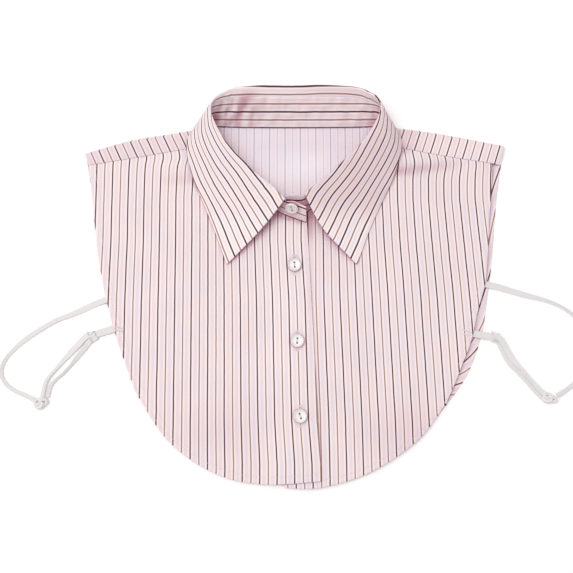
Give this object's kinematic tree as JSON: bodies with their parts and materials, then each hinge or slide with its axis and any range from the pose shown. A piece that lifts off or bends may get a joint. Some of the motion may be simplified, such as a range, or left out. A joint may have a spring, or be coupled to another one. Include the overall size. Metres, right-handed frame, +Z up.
{
  "type": "dickey",
  "caption": "Striped cotton false shirt collar on a short buttoned bib with elastic side ties, lying flat on its back.",
  "frame": {"origin": "middle of the surface that the bib lies on, under the centre of its box without the ties", "axes": "+X to the viewer's right across the shoulders, +Y from the hem to the collar, +Z up from the surface through the cloth"},
  "size_m": [0.5063, 0.3518, 0.0249],
  "materials": {
    "striped_cotton": "matt",
    "white_button": "gloss",
    "white_elastic": "matt"
  },
  "bodies": {
    "root": {"back_panel": "striped_cotton", "front_panel_left": "striped_cotton", "front_panel_right": "striped_cotton", "collar_stand": "striped_cotton", "collar_leaf": "striped_cotton", "front_button_1": "white_button", "front_button_2": "white_button", "front_button_3": "white_button", "collar_button": "white_button", "tie_tab_left": "white_elastic", "tie_tab_right": "white_elastic", "tie_long_left": "white_elastic", "tie_long_right": "white_elastic", "tie_outer_left": "white_elastic", "tie_outer_right": "white_elastic", "tie_inner_left": "white_elastic", "tie_inner_right": "white_elastic", "tie_knot_left": "white_elastic", "tie_knot_right": "white_elastic"}
  },
  "joints": []
}
